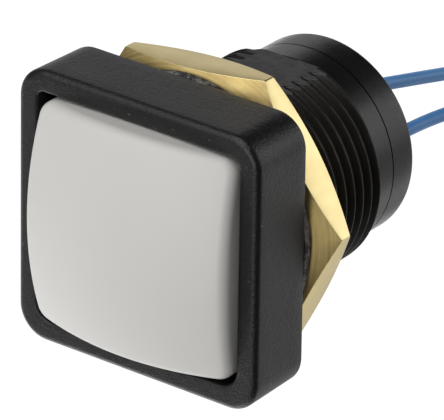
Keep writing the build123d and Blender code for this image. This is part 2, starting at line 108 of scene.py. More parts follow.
def circle(r, z, n=96, phase=0.0):
    return [(r * math.cos(phase + 2 * math.pi * i / n), r * math.sin(phase + 2 * math.pi * i / n), z) for i in range(n)]


def lathe(name, profile, n=160, loop=True, sharp=32.0):
    """A closed ring turned from an (r, z) outline that is listed anticlockwise seen with r to the right."""
    verts, faces = bridge_rings([circle(r, z, n) for r, z in profile], loop=loop)
    return mesh_object(name, verts, faces, sharp)


def arc(cx, cz, r, a0, a1, n):
    return [(cx + r * math.cos(math.radians(a0 + (a1 - a0) * i / n)), cz + r * math.sin(math.radians(a0 + (a1 - a0) * i / n))) for i in range(n + 1)]


def square_ring(half, corner, z, n_side=22, n_corner=12):
    """Rounded square, anticlockwise from the +X side's lower end; corner is one radius, or four:
    (+X +Y), (-X +Y), (-X -Y), (+X -Y)."""
    pts = []
    radii = corner if isinstance(corner, tuple) else (corner,) * 4
    for k in range(4):
        a = k * math.pi / 2
        ca, sa = math.cos(a), math.sin(a)
        r = radii[k]
        start, end = -(half - radii[k - 1]), half - r
        for i in range(n_side):
            u = start + (end - start) * i / n_side
            pts.append((half * ca - u * sa, half * sa + u * ca, z))
        for i in range(n_corner):
            b = a + (math.pi / 2) * i / n_corner
            cx, cy = end * (ca - sa), end * (sa + ca)
            pts.append((cx + r * math.cos(b), cy + r * math.sin(b), z))
    return pts


def ring_like(ring, r, z):
    """A circle whose points lie at the same bearings as the given ring's."""
    return [(r * x / math.hypot(x, y), r * y / math.hypot(x, y), z) for x, y, _ in ring]


def place(ob, body, slot, *nodes, material=None):
    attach(ob, body)
    if nodes:
        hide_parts(*nodes)
    if material is not None:
        ob.data.materials.clear()
        ob.data.materials.append(material)
    return ob


# ------------------------------------------------------------------ materials
class Mat:
    """Small helper round a node tree."""

    def __init__(self, name):
        self.m = bpy.data.materials.new(name)
        self.m.use_nodes = True
        self.t = self.m.node_tree
        self.b = self.t.nodes["Principled BSDF"]
        self.co = self.t.nodes.new("ShaderNodeTexCoord").outputs["Object"]

    def set(self, **values):
        for key, v in values.items():
            self.b.inputs[key.replace("_", " ")].default_value = v
        return self

    def node(self, kind, **values):
        n = self.t.nodes.new(kind)
        for key, v in values.items():
            setattr(n, key, v)
        return n

    def link(self, a, b):
        self.t.links.new(a, b)

    def mapping(self, scale):
        n = self.node("ShaderNodeMapping")
        n.inputs["Scale"].default_value = scale
        self.link(self.co, n.inputs["Vector"])
        return n.outputs["Vector"]

    def noise(self, scale, detail=3.0, rough=0.5, vector=None, distortion=0.0):
        n = self.node("ShaderNodeTexNoise")
        n.inputs["Scale"].default_value = scale
        n.inputs["Detail"].default_value = detail
        n.inputs["Roughness"].default_value = rough
        n.inputs["Distortion"].default_value = distortion
        self.link(vector if vector is not None else self.co, n.inputs["Vector"])
        return n.outputs["Fac"]

    def ramp(self, fac, stops, interpolation="LINEAR"):
        n = self.node("ShaderNodeValToRGB")
        r = n.color_ramp
        r.interpolation = interpolation
        while len(r.elements) < len(stops):
            r.elements.new(0.5)
        for e, (pos, col) in zip(r.elements, stops):
            e.position = pos
            e.color = (*col, 1.0) if len(col) == 3 else col
        self.link(fac, n.inputs["Fac"])
        return n.outputs["Color"]

    def map(self, fac, a, b, c, d, smooth=False):
        n = self.node("ShaderNodeMapRange")
        if smooth:
            n.interpolation_type = "SMOOTHSTEP"
        for key, v in (("From Min", a), ("From Max", b), ("To Min", c), ("To Max", d)):
            n.inputs[key].default_value = v
        self.link(fac, n.inputs["Value"])
        return n.outputs["Result"]

    def math(self, op, a, b=None, clamp=False):
        n = self.node("ShaderNodeMath", operation=op, use_clamp=clamp)
        for i, v in enumerate((a, b)):
            if v is None:
                continue
            if isinstance(v, (int, float)):
                n.inputs[i].default_value = v
            else:
                self.link(v, n.inputs[i])
        return n.outputs[0]

    def mix(self, fac, a, b, blend="MIX"):
        n = self.node("ShaderNodeMix", data_type="RGBA", blend_type=blend)
        for sock, v in ((n.inputs["Factor"], fac), (n.inputs[6], a), (n.inputs[7], b)):
            if isinstance(v, (int, float)):
                sock.default_value = v
            elif isinstance(v, tuple):
                sock.default_value = (*v, 1.0) if len(v) == 3 else v
            else:
                self.link(v, sock)
        return n.outputs[2]

    def xyz(self):
        n = self.node("ShaderNodeSeparateXYZ")
        self.link(self.co, n.inputs[0])
        return n.outputs

    def radius(self):
        x, y, _ = self.xyz()
        return self.math("SQRT", self.math("ADD", self.math("MULTIPLY", x, x), self.math("MULTIPLY", y, y)))

    def attribute(self, name):
        n = self.node("ShaderNodeAttribute", attribute_name=name)
        return n.outputs["Fac"]

    def color(self, c):
        self.link(c, self.b.inputs["Base Color"])
        return self

    def rough(self, r):
        self.link(r, self.b.inputs["Roughness"])
        return self

    def bump(self, *layers):
        """Layers of (height in metres as a socket, strength)."""
        last = None
        for height, distance, strength in layers:
            n = self.node("ShaderNodeBump")
            n.inputs["Strength"].default_value = strength
            n.inputs["Distance"].default_value = distance
            self.link(height, n.inputs["Height"])
            if last is not None:
                self.link(last, n.inputs["Normal"])
            last = n.outputs["Normal"]
        self.link(last, self.b.inputs["Normal"])
        return self


def black_moulding(name, base, rough, grain, grain_scale, speck=0.5, ripple=0.0):
    m = Mat(name)
    m.set(IOR=1.5, Metallic=0.0)
    broad = m.noise(180.0, 3.0, 0.55)
    fine = m.noise(grain_scale, 2.0, 0.6)
    tone = m.mix(m.map(broad, 0.35, 0.65, 0.0, 1.0), tuple(v * 0.86 for v in base), tuple(v * 1.14 for v in base))
    dust = m.map(m.noise(2600.0, 1.0, 0.5), 0.74, 0.80, 0.0, speck)
    m.color(m.mix(dust, tone, (0.10, 0.10, 0.10)))
    m.rough(m.math("ADD", m.map(fine, 0.3, 0.7, rough - 0.05, rough + 0.05), m.map(broad, 0.3, 0.7, -0.03, 0.03)))
    layers = [(fine, 0.00006, grain), (broad, 0.00008, 0.12)]
    if ripple:
        layers.append((m.noise(1900.0, 3.0, 0.65, distortion=0.8), 0.00008, ripple))
    m.bump(*layers)
    return m


BEZEL = black_moulding("bezel_plastic", (0.0028, 0.0028, 0.0029), 0.36, 0.60, 7600.0, 0.8, 0.38).m
BUSHING = Mat("bushing_plastic")
BUSHING.set(IOR=1.5)
_r = BUSHING.radius()
_crest = BUSHING.map(_r, 0.00784, 0.00793, 0.0, 1.0, smooth=True)
_wear = BUSHING.map(BUSHING.noise(900.0, 3.0, 0.6), 0.35, 0.7, 0.2, 1.0)
_tone = BUSHING.mix(BUSHING.map(BUSHING.noise(300.0, 3.0, 0.6), 0.3, 0.7, 0.0, 1.0), (0.0140, 0.0140, 0.0143), (0.0175, 0.0175, 0.0178))
BUSHING.color(BUSHING.mix(BUSHING.math("MULTIPLY", _crest, _wear), _tone, (0.013, 0.013, 0.0135)))
# the flat keeps the moulded shine, the cut thread is duller
_onflat = BUSHING.map(BUSHING.xyz()[1], 0.00708, 0.00716, 0.0, 1.0)
_grain = BUSHING.noise(1600.0, 3.0, 0.6)
_dull = BUSHING.mix(_onflat, BUSHING.map(_grain, 0.3, 0.7, 0.50, 0.62), BUSHING.map(_grain, 0.3, 0.7, 0.32, 0.48))
BUSHING.rough(_dull)
BUSHING.bump((BUSHING.noise(2400.0, 3.0, 0.6), 0.00005, 0.35))
BUSHING = BUSHING.m
# the cut thread: less shine than the moulded skin, its crests worn paler
THREAD = Mat("cut_thread")
THREAD.set(IOR=1.5)
THREAD.b.inputs["Specular IOR Level"].default_value = 0.26
_top = THREAD.map(THREAD.radius(), 0.00785, 0.00792, 0.0, 1.0, smooth=True)
_worn = THREAD.map(THREAD.noise(520.0, 4.0, 0.70), 0.42, 0.64, 0.0, 1.0)
_grain = THREAD.noise(1600.0, 3.0, 0.6)
THREAD.color(THREAD.mix(THREAD.math("MULTIPLY", _top, _worn),
                        THREAD.mix(THREAD.map(THREAD.noise(300.0, 3.0, 0.6), 0.3, 0.7, 0.0, 1.0), (0.0095, 0.0086, 0.0068), (0.0130, 0.0118, 0.0094)),
                        (0.036, 0.032, 0.025)))
THREAD.rough(THREAD.map(_grain, 0.3, 0.7, 0.40, 0.52))
THREAD.bump((THREAD.noise(2400.0, 3.0, 0.6), 0.00005, 0.30))
THREAD = THREAD.m
COLLAR = black_moulding("collar_plastic", (0.0045, 0.0045, 0.0047), 0.22, 0.12, 3000.0, 0.06).m

CAP = Mat("cap_plastic")
CAP.set(IOR=1.47)
_broad = CAP.noise(90.0, 3.0, 0.5)
_fine = CAP.noise(3200.0, 2.0, 0.5)
_white = CAP.mix(CAP.map(_broad, 0.35, 0.65, 0.0, 1.0), (0.682, 0.672, 0.643), (0.700, 0.690, 0.663))
CAP.color(_white)
CAP.rough(CAP.map(_fine, 0.3, 0.7, 0.42, 0.50))
CAP.bump((_fine, 0.00002, 0.20))
CAP = CAP.m


def plastic(name, a, b, rough=0.4, scale=400.0, bump=0.15):
    m = Mat(name)
    m.set(IOR=1.5)
    n = m.noise(scale, 3.0, 0.5)
    m.color(m.mix(m.map(n, 0.3, 0.7, 0.0, 1.0), a, b))
    m.rough(m.map(m.noise(scale * 5, 2.0, 0.5), 0.3, 0.7, rough - 0.05, rough + 0.06))
    m.bump((m.noise(scale * 4, 3.0, 0.5), 0.00004, bump))
    return m.m


def metal(name, a, b, rough=0.3, scale=500.0, bump=0.12, stretch=(1.0, 1.0, 1.0)):
    m = Mat(name)
    m.set(Metallic=1.0)
    v = m.mapping(stretch)
    n = m.noise(scale, 4.0, 0.55, v)
    m.color(m.mix(m.map(n, 0.3, 0.7, 0.0, 1.0), a, b))
    m.rough(m.map(m.noise(scale * 3, 3.0, 0.5, v), 0.3, 0.7, rough - 0.06, rough + 0.08))
    m.bump((m.noise(scale * 4, 3.0, 0.5, v), 0.00003, bump))
    return m.m


PLUNGER = plastic("plunger_plastic", (0.60, 0.57, 0.49), (0.66, 0.63, 0.56))
SEAL = plastic("seal_rubber", (0.014, 0.014, 0.014), (0.024, 0.024, 0.024), 0.5)
BASE = black_moulding("base_plastic", (0.0048, 0.0048, 0.0050), 0.24, 0.12, 3000.0, 0.06).m
POTTING = plastic("potting_resin", (0.010, 0.010, 0.010), (0.020, 0.020, 0.020), 0.22, 240.0, 0.25)
STEEL = metal("spring_steel", (0.52, 0.52, 0.52), (0.62, 0.62, 0.61), 0.30)
CONTACT = metal("contact_brass", (0.70, 0.52, 0.24), (0.80, 0.62, 0.32), 0.32, 500.0, 0.15, (1.0, 0.12, 1.0))
SILVER = metal("contact_silver", (0.78, 0.77, 0.74), (0.86, 0.85, 0.82), 0.28)
TINNED = metal("tinned_strand", (0.60, 0.59, 0.57), (0.72, 0.71, 0.69), 0.34)
TIE = plastic("tie_band", (0.018, 0.018, 0.020), (0.030, 0.030, 0.033), 0.5)

LEAD = Mat("lead_jacket")
LEAD.set(IOR=1.5)
_n = LEAD.noise(420.0, 3.0, 0.5)
LEAD.color(LEAD.mix(LEAD.map(_n, 0.3, 0.7, 0.0, 1.0), (0.090, 0.315, 0.700), (0.112, 0.365, 0.800)))
LEAD.rough(LEAD.map(LEAD.noise(2500.0, 2.0, 0.5), 0.3, 0.7, 0.34, 0.44))
LEAD.bump((LEAD.noise(1800.0, 2.0, 0.5), 0.00004, 0.15))
LEAD = LEAD.m

GASKET = Mat("gasket_rubber")
GASKET.set(IOR=1.5)
_n = GASKET.noise(700.0, 4.0, 0.65)
_d = GASKET.map(GASKET.noise(1500.0, 4.0, 0.7), 0.42, 0.62, 0.0, 0.80, smooth=True)
GASKET.color(GASKET.mix(_d, GASKET.mix(_n, (0.012, 0.012, 0.012), (0.026, 0.026, 0.026)), (0.30, 0.285, 0.25)))
GASKET.rough(GASKET.map(_n, 0.3, 0.7, 0.55, 0.8))
GASKET.bump((GASKET.noise(2600.0, 4.0, 0.7), 0.00012, 0.5))
GASKET = GASKET.m

NUT = Mat("nut_brass")
NUT.set(Metallic=1.0)
_x, _y, _z = NUT.xyz()
_rad = NUT.radius()
# turned grooves on faces and cones follow the radius, drawn lines on the flats follow the axis
_cmb = NUT.node("ShaderNodeCombineXYZ")
NUT.link(NUT.math("ADD", _rad, NUT.math("MULTIPLY", _z, 0.45)), _cmb.inputs[0])
NUT.link(NUT.math("MULTIPLY", _z, 0.25), _cmb.inputs[1])
_turned = NUT.noise(9500.0, 3.0, 0.65, _cmb.outputs[0])
_drawn = NUT.noise(2400.0, 3.0, 0.6, NUT.mapping((1.0, 1.0, 0.06)))
_turn_mask = NUT.attribute("turned")
_lines = NUT.mix(_turn_mask, NUT.map(_drawn, 0.0, 1.0, 0.42, 0.58), _turned)
_tarnish = NUT.noise(260.0, 4.0, 0.6)
# the turned faces are a little tarnished all round, darker in the tool's grooves
_scored = NUT.map(_lines, 0.40, 0.62, 0.0, 1.0)
NUT.color(NUT.mix(_turn_mask, NUT.mix(NUT.map(_tarnish, 0.35, 0.68, 0.0, 1.0), (0.93, 0.79, 0.42), (0.87, 0.71, 0.35)),
                  NUT.mix(NUT.map(_tarnish, 0.35, 0.68, 0.0, 1.0), NUT.mix(_scored, (0.60, 0.46, 0.19), (0.76, 0.60, 0.26)),
                          NUT.mix(_scored, (0.44, 0.33, 0.14), (0.62, 0.47, 0.20)))))
_satin = NUT.math("ADD", NUT.map(_lines, 0.3, 0.7, 0.24, 0.38), NUT.math("MULTIPLY", _turn_mask, 0.20))
NUT.rough(NUT.math("ADD", _satin, NUT.map(_tarnish, 0.3, 0.7, -0.02, 0.05)))
NUT.bump((_lines, 0.00002, 0.35), (NUT.noise(900.0, 3.0, 0.6), 0.00004, 0.04))
NUT = NUT.m

# ------------------------------------------------------------------ leads
UPPER_ROUTE = [
    (0.00, 2.20, -14.35),
    (0.00, 2.20, -18.20),
    (0.50, 1.45, -22.00),
    (0.52, 0.45, -26.00),
    (0.40, -0.65, -30.00),
    (0.00, -1.30, -32.40),
    (0.00, -1.30, -34.50),
]
LOWER_ROUTE = [
    (0.00, -2.20, -14.35),
    (0.03, -2.20, -18.20),
    (0.50, -2.75, -22.30),
    (0.48, -2.98, -26.30),
    (0.72, -3.42, -30.20),
    (1.20, -3.50, -32.40),
    (1.20, -3.50, -34.50),
]
UPPER_TAIL = [
    (0.60, -1.90, -56.20),
    (0.60, -1.90, -58.30),
    (0.95, -1.45, -61.20),
    (1.05, -1.30, -64.00),
]
LOWER_TAIL = [
    (0.60, -2.90, -56.20),
    (0.60, -2.90, -58.20),
    (0.25, -3.45, -60.90),
    (0.05, -3.60, -63.40),
]
HANK = (0.60, -2.40)
LOBE_TOP, LOBE_BOTTOM, WAIST = -38.35, -52.65, -45.50


def hank_points(side):
    """Five runs and four folds. side is +1 for the lead that starts on the +Y side, -1 for the other,
    which lies in the other half of the hank, turned half a turn about its axis."""
    # (x in the lobe, x and y beside the waist, x and y in the waist) of each run, for side +1
    runs = [
        ((-2.50, 2.95), (-1.95, 2.35), (-1.00, 1.50)),
        ((-2.55, -2.95), (-1.95, -2.35), (-1.00, -1.50)),
        ((-1.50, 2.95), (-1.20, 1.78), (-1.00, 0.50)),
        ((-1.55, -2.95), (-1.20, -1.78), (-1.00, -0.50)),
        ((-0.50, 2.95), (-0.25, 1.95), (0.00, 1.00)),
    ]
    pts = [(-1.55, 1.45, -35.35), (-2.75, 2.25, -36.30)]
    for k, (lobe, mid, waist) in enumerate(runs):
        down = k % 2 == 0
        zs = [LOBE_TOP - 0.2, -42.0, WAIST + 1.15, WAIST - 1.15, -49.0, LOBE_BOTTOM + 0.2]
        xy = [lobe, mid, waist, waist, mid, lobe]
        leg = [(x, y, z) for (x, y), z in zip(xy, zs)]
        pts += leg if down else leg[::-1]
        if k == len(runs) - 1:
            break
        nxt = runs[k + 1][0]
        zc, up = (LOBE_BOTTOM, -1) if down else (LOBE_TOP, 1)
        r = 3.0 + (0.12, -0.06, 0.05, -0.10)[k]
        s = 1 if down else -1
        for i, deg in enumerate((28, 62, 98, 128, 156)):
            a = math.radians(deg)
            f = (i + 1) / 6
            rr = r / math.cos(math.radians(17))
            pts.append((lobe[0] * (1 - f) + nxt[0] * f, s * rr * math.cos(a), zc + up * rr * math.sin(a)))
    pts += [(-0.30, 2.05, -54.10), (-0.05, 0.80, -55.20)]
    return [(HANK[0] + side * x, HANK[1] + side * y, z) for x, y, z in pts]


def lead(name, points, *nodes):
    curve = bpy.data.curves.new(name, "CURVE")
    curve.dimensions = "3D"
    curve.resolution_u = 10
    # the tube's radius is bevel depth times point radius: 0.475 mm
    curve.bevel_depth = 0.475
    curve.bevel_resolution = 5
    curve.use_fill_caps = True
    spline = curve.splines.new("NURBS")
    spline.points.add(len(points) - 1)
    for p, (x, y, z) in zip(spline.points, points):
        p.co = (x * MM, y * MM, z * MM, 1.0)
        p.radius = MM
    spline.order_u = 3
    spline.use_endpoint_u = True
    ob = bpy.data.objects.new(name, curve)
    bpy.context.scene.collection.objects.link(ob)
    return place(ob, "switch_body", "lead_jacket", *nodes, material=LEAD)


def strand_end(name, a, b, length, node):
    """Seven twisted strands beyond the insulation, along the last run of the lead."""
    a, b = Vector(a), Vector(b)
    d = (b - a).normalized()
    u = d.orthogonal().normalized()
    v = d.cross(u)
    verts, faces = [], []
    for s in range(7):
        base = len(verts)
        off = 0.0 if s == 0 else 0.155
        rows = 26
        rs = 0.083
        for j in range(rows):
            t = j / (rows - 1)
            a0 = 2 * math.pi * (s / 6 + 1.1 * t)
            c = b + d * (length * t - 0.25) + (u * math.cos(a0) + v * math.sin(a0)) * off
            for i in range(8):
                w = 2 * math.pi * i / 8
                verts.append(tuple(c + (u * math.cos(w) + v * math.sin(w)) * rs))
        for j in range(rows - 1):
            for i in range(8):
                k = (i + 1) % 8
                faces.append((base + j * 8 + i, base + j * 8 + k, base + (j + 1) * 8 + k, base + (j + 1) * 8 + i))
        faces.append(tuple(base + i for i in range(8))[::-1])
        faces.append(tuple(base + (rows - 1) * 8 + i for i in range(8)))
    ob = mesh_object(name, verts, faces, 60)
    return place(ob, "switch_body", "tinned_strand", node, material=TINNED)


upper = lead("lead_upper_cord", UPPER_ROUTE + hank_points(1) + UPPER_TAIL, "lead_upper", "lead_hank", "lead_upper_tail")
lower = lead("lead_lower_cord", LOWER_ROUTE + hank_points(-1) + LOWER_TAIL, "lead_lower", "lead_hank", "lead_lower_tail")
upper_end = strand_end("lead_upper_strands", UPPER_TAIL[-2], UPPER_TAIL[-1], 5.2, "lead_upper_end")
lower_end = strand_end("lead_lower_strands", LOWER_TAIL[-2], LOWER_TAIL[-1], 5.2, "lead_lower_end")

# band round the waist: a soft flat loop
band_rings = []
band_profile = [(0.0, -1.05), (0.10, -1.10), (0.34, -1.10), (0.42, -1.02), (0.44, 0.0), (0.42, 1.02), (0.34, 1.10), (0.10, 1.10), (0.0, 1.05), (-0.02, 0.0)]
outline = square_ring(1.0, 0.42, 0.0, 10, 8)
for off, dz in band_profile:
    ring = []
    for x, y, _ in outline:
        n = Vector((x * 1.58, y * 2.08, 0.0))
        out = Vector((x, y, 0)).normalized() * off
        ring.append((HANK[0] + n.x + out.x, HANK[1] + n.y + out.y, WAIST + dz))
    band_rings.append(ring)
verts, faces = bridge_rings(band_rings, loop=True)
tie = place(mesh_object("lead_tie_band", verts, faces, 50), "switch_body", "tie_band", "lead_tie", material=TIE)

# ------------------------------------------------------------------ bezel
REAR_Z, FRONT_Z = 0.70, 6.06
H0, H1 = 9.90, 10.01
base_ring = square_ring(H0, 2.3, 0.0)


def wall_half(z):
    return H0 + (H1 - H0) * (z - REAR_Z) / (FRONT_Z - REAR_Z)


OPEN, OPEN_R = 8.42, (0.70, 0.65, 1.20, 1.45)


def opening(out, z):
    """The opening's outline, moved outwards."""
    return square_ring(OPEN + out, tuple(r + out for r in OPEN_R), z)


rings = [ring_like(base_ring, 5.60, 2.25), ring_like(base_ring, 7.2, 2.25)]
# recess floor out to its wall, up to the opening, over the small lip
rings.append(opening(-0.20, 2.25))
rings.append(opening(-0.03, 2.28))
rings.append(opening(0.0, 2.42))
for z in (3.4, 4.6, 5.5):
    rings.append(opening(0.0, z))
lip = 0.22
for i in range(7):
    a = math.radians(90 * i / 6)
    rings.append(opening(lip * (1 - math.cos(a)), FRONT_Z - lip * (1 - math.sin(a))))
for h in (8.9, 9.25):
    rings.append(opening(h - OPEN, FRONT_Z))
fil = 0.50
for i in range(10):
    a = math.radians(90 - 90 * i / 9)
    z = FRONT_Z - fil * (1 - math.sin(a))
    inset = fil * (1 - math.cos(a))
    rings.append(square_ring(wall_half(z) - inset, 2.30 - inset, z))
for z in (4.6, 3.6, 2.6, 1.7):
    rings.append(square_ring(wall_half(z), 2.30, z))
for i in range(5):
    a = math.radians(90 * i / 4)
    inset = 0.20 * (1 - math.cos(a))
    rings.append(square_ring(wall_half(0.9) - inset, 2.30 - inset, REAR_Z + 0.20 * (1 - math.sin(a))))
rings.append(square_ring(9.2, 2.3, REAR_Z))
rings.append(ring_like(base_ring, 8.2, REAR_Z))
rings.append(ring_like(base_ring, 7.40, REAR_Z))
rings.append(ring_like(base_ring, 5.60, REAR_Z))
verts, faces = bridge_rings(rings, loop=True)
bezel = place(mesh_object("bezel", verts, faces, 40), "switch_body", "bezel_plastic", "housing", material=BEZEL)

# ------------------------------------------------------------------ bushing with thread and flat
R_CREST, R_ROOT, PITCH, FLAT_Y = 7.93, 7.54, 0.94, 7.18
THREAD_END = -10.80


def thread_r(theta, z):
    """Radius of the cut thread: 60 degree flanks, narrow crest, rounded root."""
    p = ((z + 0.47) / PITCH - theta / (2 * math.pi)) % 1.0
    d = abs(p - 0.5) * PITCH  # 0 at the crest's middle
    crest, flank = 0.055, 0.305
    if d <= crest:
        f = 0.0
    elif d >= crest + flank:
        f = 1.0
    else:
        f = (d - crest) / flank
    f = f + 0.045 * math.sin(2 * math.pi * f) * (-1)
    return R_CREST - (R_CREST - R_ROOT) * f


# bearings: finer beside the flat
half_flat = math.degrees(math.acos(FLAT_Y / R_CREST))
bear = []
a = 90 - half_flat - 12
while a < 90 - half_flat + 12.5:
    bear.append(a)
    a += 0.55
bear += list(np.arange(90 - 10.5, 90 + 10.6, 3.0))
a = 90 + half_flat - 12
while a < 90 + half_flat + 12.5:
    bear.append(a)
    a += 0.55
last = 90 + half_flat + 12.5
step = (360 + 90 - half_flat - 12 - last) / 262
bear += [last + step * i for i in range(262)]
bear = sorted(set(round(b, 4) for b in bear))
bear = [math.radians(b) for b in bear]

rows_z = list(np.arange(0.70, THREAD_END + 0.001, -PITCH / 18))
rng = np.random.RandomState(11)
chew = rng.normal(0, 1, (64, 400))
rings = []
for z in rows_z:
    ring = []
    for b in bear:
        r = thread_r(b, z)
        # run-out towards the bezel, chamfer at the rear end
        if z > -0.2:
            r = R_CREST if z > 0.2 else R_CREST - (R_CREST - r) * (0.2 - z) / 0.4
        end = R_CREST - 0.42 + max(0.0, (z - THREAD_END)) * 1.05
        r = min(r, end)
        s = math.sin(b)
        if s > 0.8:
            limit = FLAT_Y / s
            if limit < r:
                r = limit
            elif limit < r + 0.24:
                # torn edge where the cut runs out into the flat, less so further from it
                i, j = int((0.7 - z) / 0.16) % 64, int(math.degrees(b) * 1.3) % 400
                r -= 0.024 * min(abs(chew[i, j]), 1.8) * (1.0 - (limit - r) / 0.24)
        ring.append((r * math.cos(b), r * math.sin(b), z))
    rings.append(ring)


def bearing_ring(r, z):
    return [(r * math.cos(b), r * math.sin(b), z) for b in bear]


# close the sleeve: rear face, chamber wall, front inside
rings.append([(x * 0.972, y * 0.972, THREAD_END) for x, y, _ in rings[-1]])
rings.append(bearing_ring(6.6, THREAD_END))
rings.append(bearing_ring(5.80, THREAD_END))
rings.append(bearing_ring(5.80, -4.0))
rings.append(bearing_ring(3.05, -4.0))
rings.append(bearing_ring(3.05, -1.0))
rings.append(bearing_ring(5.60, -1.0))
rings.append(bearing_ring(5.60, 0.70))
verts, faces = bridge_rings(rings, loop=True, flip=True)
bushing = place(mesh_object("bushing", verts, faces, 38), "switch_body", "bezel_plastic", "housing", material=BUSHING)
bushing.data.materials.append(THREAD)
for poly in bushing.data.polygons:
    if poly.center.y < 0.00712 and poly.center.z < 0.0 and math.hypot(poly.center.x, poly.center.y) > 0.0072:
        poly.material_index = 1

# ------------------------------------------------------------------ collar and rear base
COLLAR_R = 7.22
collar = lathe("collar", [
    (5.80, -12.80), (5.80, -10.79), (COLLAR_R, -10.79), (COLLAR_R, -11.3), (COLLAR_R, -12.0), (COLLAR_R, -12.745),
    (COLLAR_R - 0.12, -12.75), (COLLAR_R - 0.12, -12.80),
][::-1], n=192, sharp=50)
place(collar, "switch_body", "bezel_plastic", "housing", material=COLLAR)

base_profile = [
    (5.60, -13.40), (5.76, -10.60), (5.76, -12.80), (COLLAR_R - 0.12, -12.80), (COLLAR_R - 0.12, -12.85),
    (COLLAR_R, -12.855), (COLLAR_R, -13.6), (COLLAR_R, -14.2), (COLLAR_R, -14.86),
]
base_profile += [(COLLAR_R - 0.34 * (1 - math.cos(math.radians(a))), -14.86 - 0.34 * math.sin(math.radians(a))) for a in (12, 24, 36, 48, 60, 72, 90)]
base_profile += [(6.3, -15.20), (5.72, -15.20), (5.60, -15.14)]
rear = lathe("rear_base", [(0.6, -10.60)] + base_profile[1:] + [(5.60, -13.40), (0.6, -13.40)], n=192, sharp=45)
place(rear, "switch_body", "base_plastic", "contact_base", material=BASE)

# potting surface with a raised meniscus at the wall and round the leads
n = 72
pot_rings = []
for r, z in ((0.02, -15.03), (0.8, -15.035), (1.5, -15.045), (2.6, -15.05), (3.6, -15.04), (4.6, -15.035), (5.2, -15.06), (5.45, -15.11), (5.58, -15.17)):
    pot_rings.append(circle(r, z, n))
pot_rings.append(circle(5.58, -13.45, n))
pot_rings.append(circle(0.02, -13.45, n))
new = []
for ring in pot_rings[:9]:
    row = []
    for x, y, z in ring:
        lift = 0.0
        for ly in (2.2, -2.2):
            d = math.hypot(x, y - ly)
            lift += 0.22 * math.exp(-((max(d - 0.45, 0.0)) / 0.28) ** 2)
        row.append((x, y, z - lift))
    new.append(row)
verts, faces = bridge_rings(new + pot_rings[9:], loop=True, flip=True)
pot = place(mesh_object("potting_fill", verts, faces, 60), "switch_body", "potting_resin", "potting", material=POTTING)

# ------------------------------------------------------------------ gasket
g = []
g += [(8.0, 0.02), (9.70, 0.0)]
g += arc(9.72, 0.18, 0.18, -80, 0, 4)
g += arc(9.72, 0.52, 0.18, 0, 80, 4)
g += [(9.70, 0.70), (8.0, 0.70)]
gasket = lathe("gasket", g, n=200, sharp=60)
for v in gasket.data.vertices:  # a cut edge is never quite round
    r = math.hypot(v.co.x, v.co.y)
    if r > 9.3 * MM:
        a = math.atan2(v.co.y, v.co.x)
        k = 1 + 0.0028 * math.sin(5 * a + 0.7) + 0.0016 * math.sin(13 * a)
        v.co.x *= k
        v.co.y *= k
place(gasket, "switch_body", "gasket_rubber", "panel_gasket", material=GASKET)

# ------------------------------------------------------------------ nut
AF, TURN = 20.20, math.radians(4.27)
NF, NR = -0.09, -2.92
C0, CT, BORE = 0.97 * AF / 2, 0.523, 7.98
APO, E = AF / 2, AF / math.sqrt(3)
ROUND = 0.14


def hex_r(b):
    """Hexagon with slightly rounded corners."""
    local = (b - TURN) % (math.pi / 3)      # 0 at a corner
    m = abs(local - math.pi / 6)            # 0 at the flat's middle
    r = APO / math.cos(m)
    # rounded corner: circle of radius ROUND tangent to both flats
    rc = E - ROUND / math.cos(math.pi / 6)
    c = min(local, math.pi / 3 - local)
    reach = math.asin(ROUND * math.sin(math.pi / 6) / math.hypot(rc + ROUND * math.cos(math.pi / 6), ROUND * math.sin(math.pi / 6)))
    if c < reach:
        d = rc * math.sin(c)
        r = rc * math.cos(c) + math.sqrt(max(0.0, ROUND ** 2 - d * d))
    return r


nb = []
for k in range(6):
    corner = TURN + k * math.pi / 3
    for off in (0.0, 0.12, 0.24, 0.36, 0.55, 1.4, 2.5, 4, 6, 8, 10, 12, 14, 16, 18, 20, 22, 24, 26, 28, 30, 32, 34, 36, 38, 40, 42, 44, 46, 48, 50, 52, 54, 56, 57.5, 58.6, 59.45, 59.64, 59.76, 59.88):
        nb.append(corner + math.radians(off))


def nut_ring(fr, fz):
    return [(fr(b) * math.cos(b), fr(b) * math.sin(b), fz(b)) for b in nb]


def cone_z(b, inset=0.0):
    return (hex_r(b) - inset - C0) * CT


